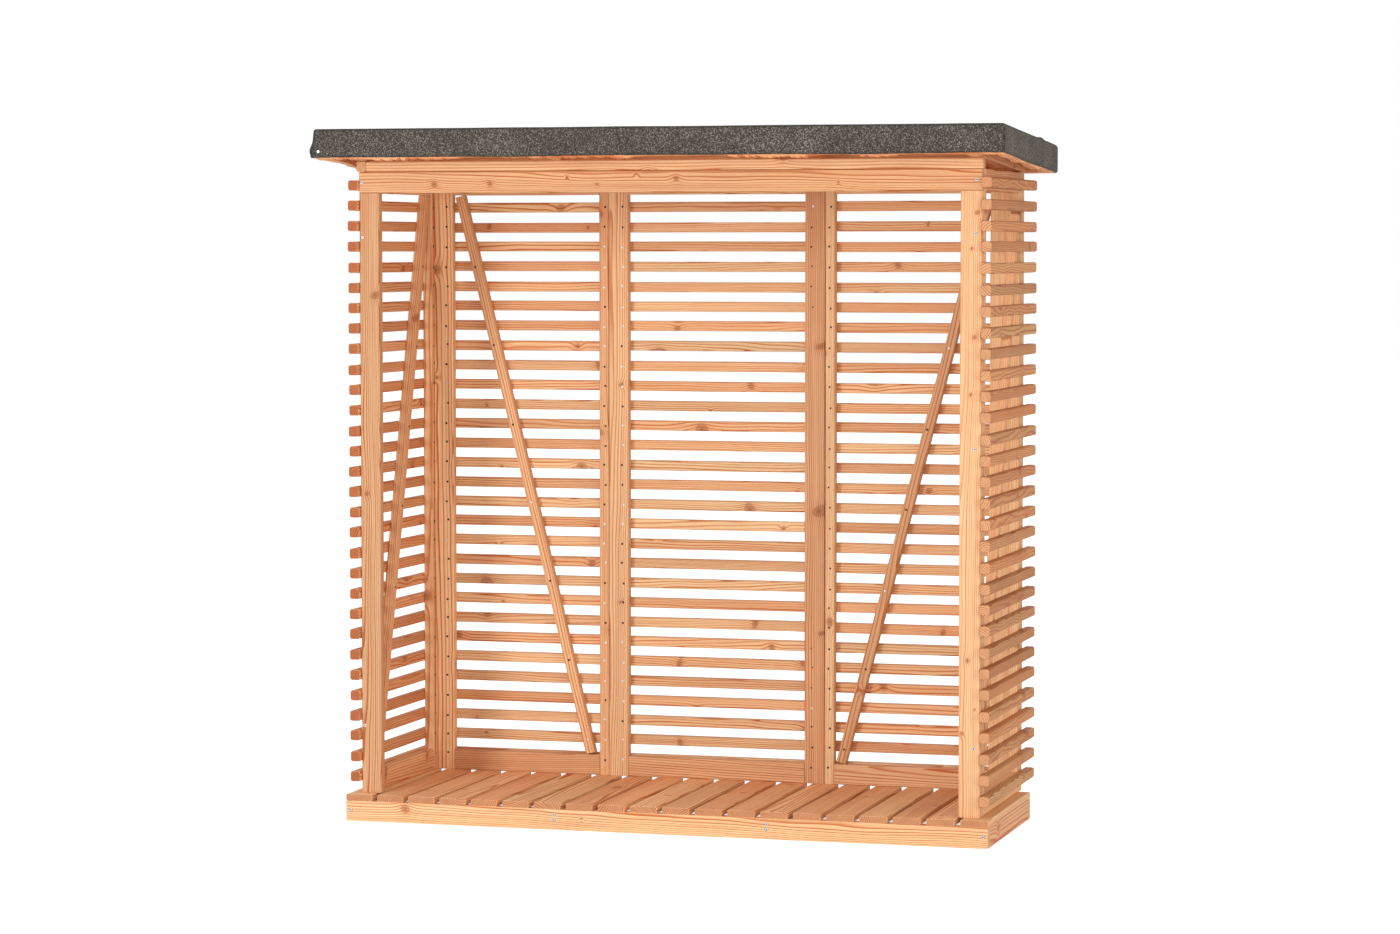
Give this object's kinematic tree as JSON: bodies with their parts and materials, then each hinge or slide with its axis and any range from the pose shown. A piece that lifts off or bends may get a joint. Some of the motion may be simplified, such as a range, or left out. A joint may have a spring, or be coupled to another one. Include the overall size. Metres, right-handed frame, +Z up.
{
  "type": "log store",
  "caption": "Open-fronted garden log store with slatted side and back panels, a boarded floor on bearers and a felted pent roof falling to the back.",
  "frame": {"origin": "on the ground, under the middle of the roof's plan", "axes": "+X along the store's width to the viewer's right, +Y from the open front to the back, +Z up"},
  "size_m": [1.908, 0.7298, 1.8945],
  "materials": {
    "slat_wood": "planed softwood, oiled",
    "frame_wood": "planed softwood, oiled",
    "base_wood": "planed softwood, oiled",
    "roof_wood": "planed softwood, oiled",
    "felt": "mineral-surfaced roofing felt"
  },
  "bodies": {
    "root": {"base_front_beam": "base_wood", "base_back_beam": "base_wood", "base_left_bearer": "base_wood", "base_right_bearer": "base_wood", "base_inner_bearers": "base_wood", "floor_boards": "base_wood", "front_left_post": "frame_wood", "front_right_post": "frame_wood", "left_wall_front_post": "frame_wood", "left_wall_back_post": "frame_wood", "left_wall_top_rail": "frame_wood", "left_wall_bottom_rail": "frame_wood", "left_wall_brace": "frame_wood", "left_wall_slats": "slat_wood", "right_wall_front_post": "frame_wood", "right_wall_back_post": "frame_wood", "right_wall_top_rail": "frame_wood", "right_wall_bottom_rail": "frame_wood", "right_wall_brace": "frame_wood", "right_wall_slats": "slat_wood", "header_beam": "frame_wood", "header_batten": "frame_wood", "back_left_corner_post": "frame_wood", "back_right_corner_post": "frame_wood", "back_left_joint_batten": "frame_wood", "back_right_joint_batten": "frame_wood", "back_middle_left_post": "frame_wood", "back_middle_right_post": "frame_wood", "back_top_rails": "frame_wood", "back_bottom_rails": "frame_wood", "back_left_brace": "frame_wood", "back_right_brace": "frame_wood", "back_left_slats": "slat_wood", "back_middle_slats": "slat_wood", "back_right_slats": "slat_wood", "roof_front_beam": "roof_wood", "roof_back_beam": "roof_wood", "roof_left_beam": "roof_wood", "roof_right_beam": "roof_wood", "roof_rafters": "roof_wood", "roof_boards": "roof_wood", "roof_felt": "felt"}
  },
  "joints": []
}
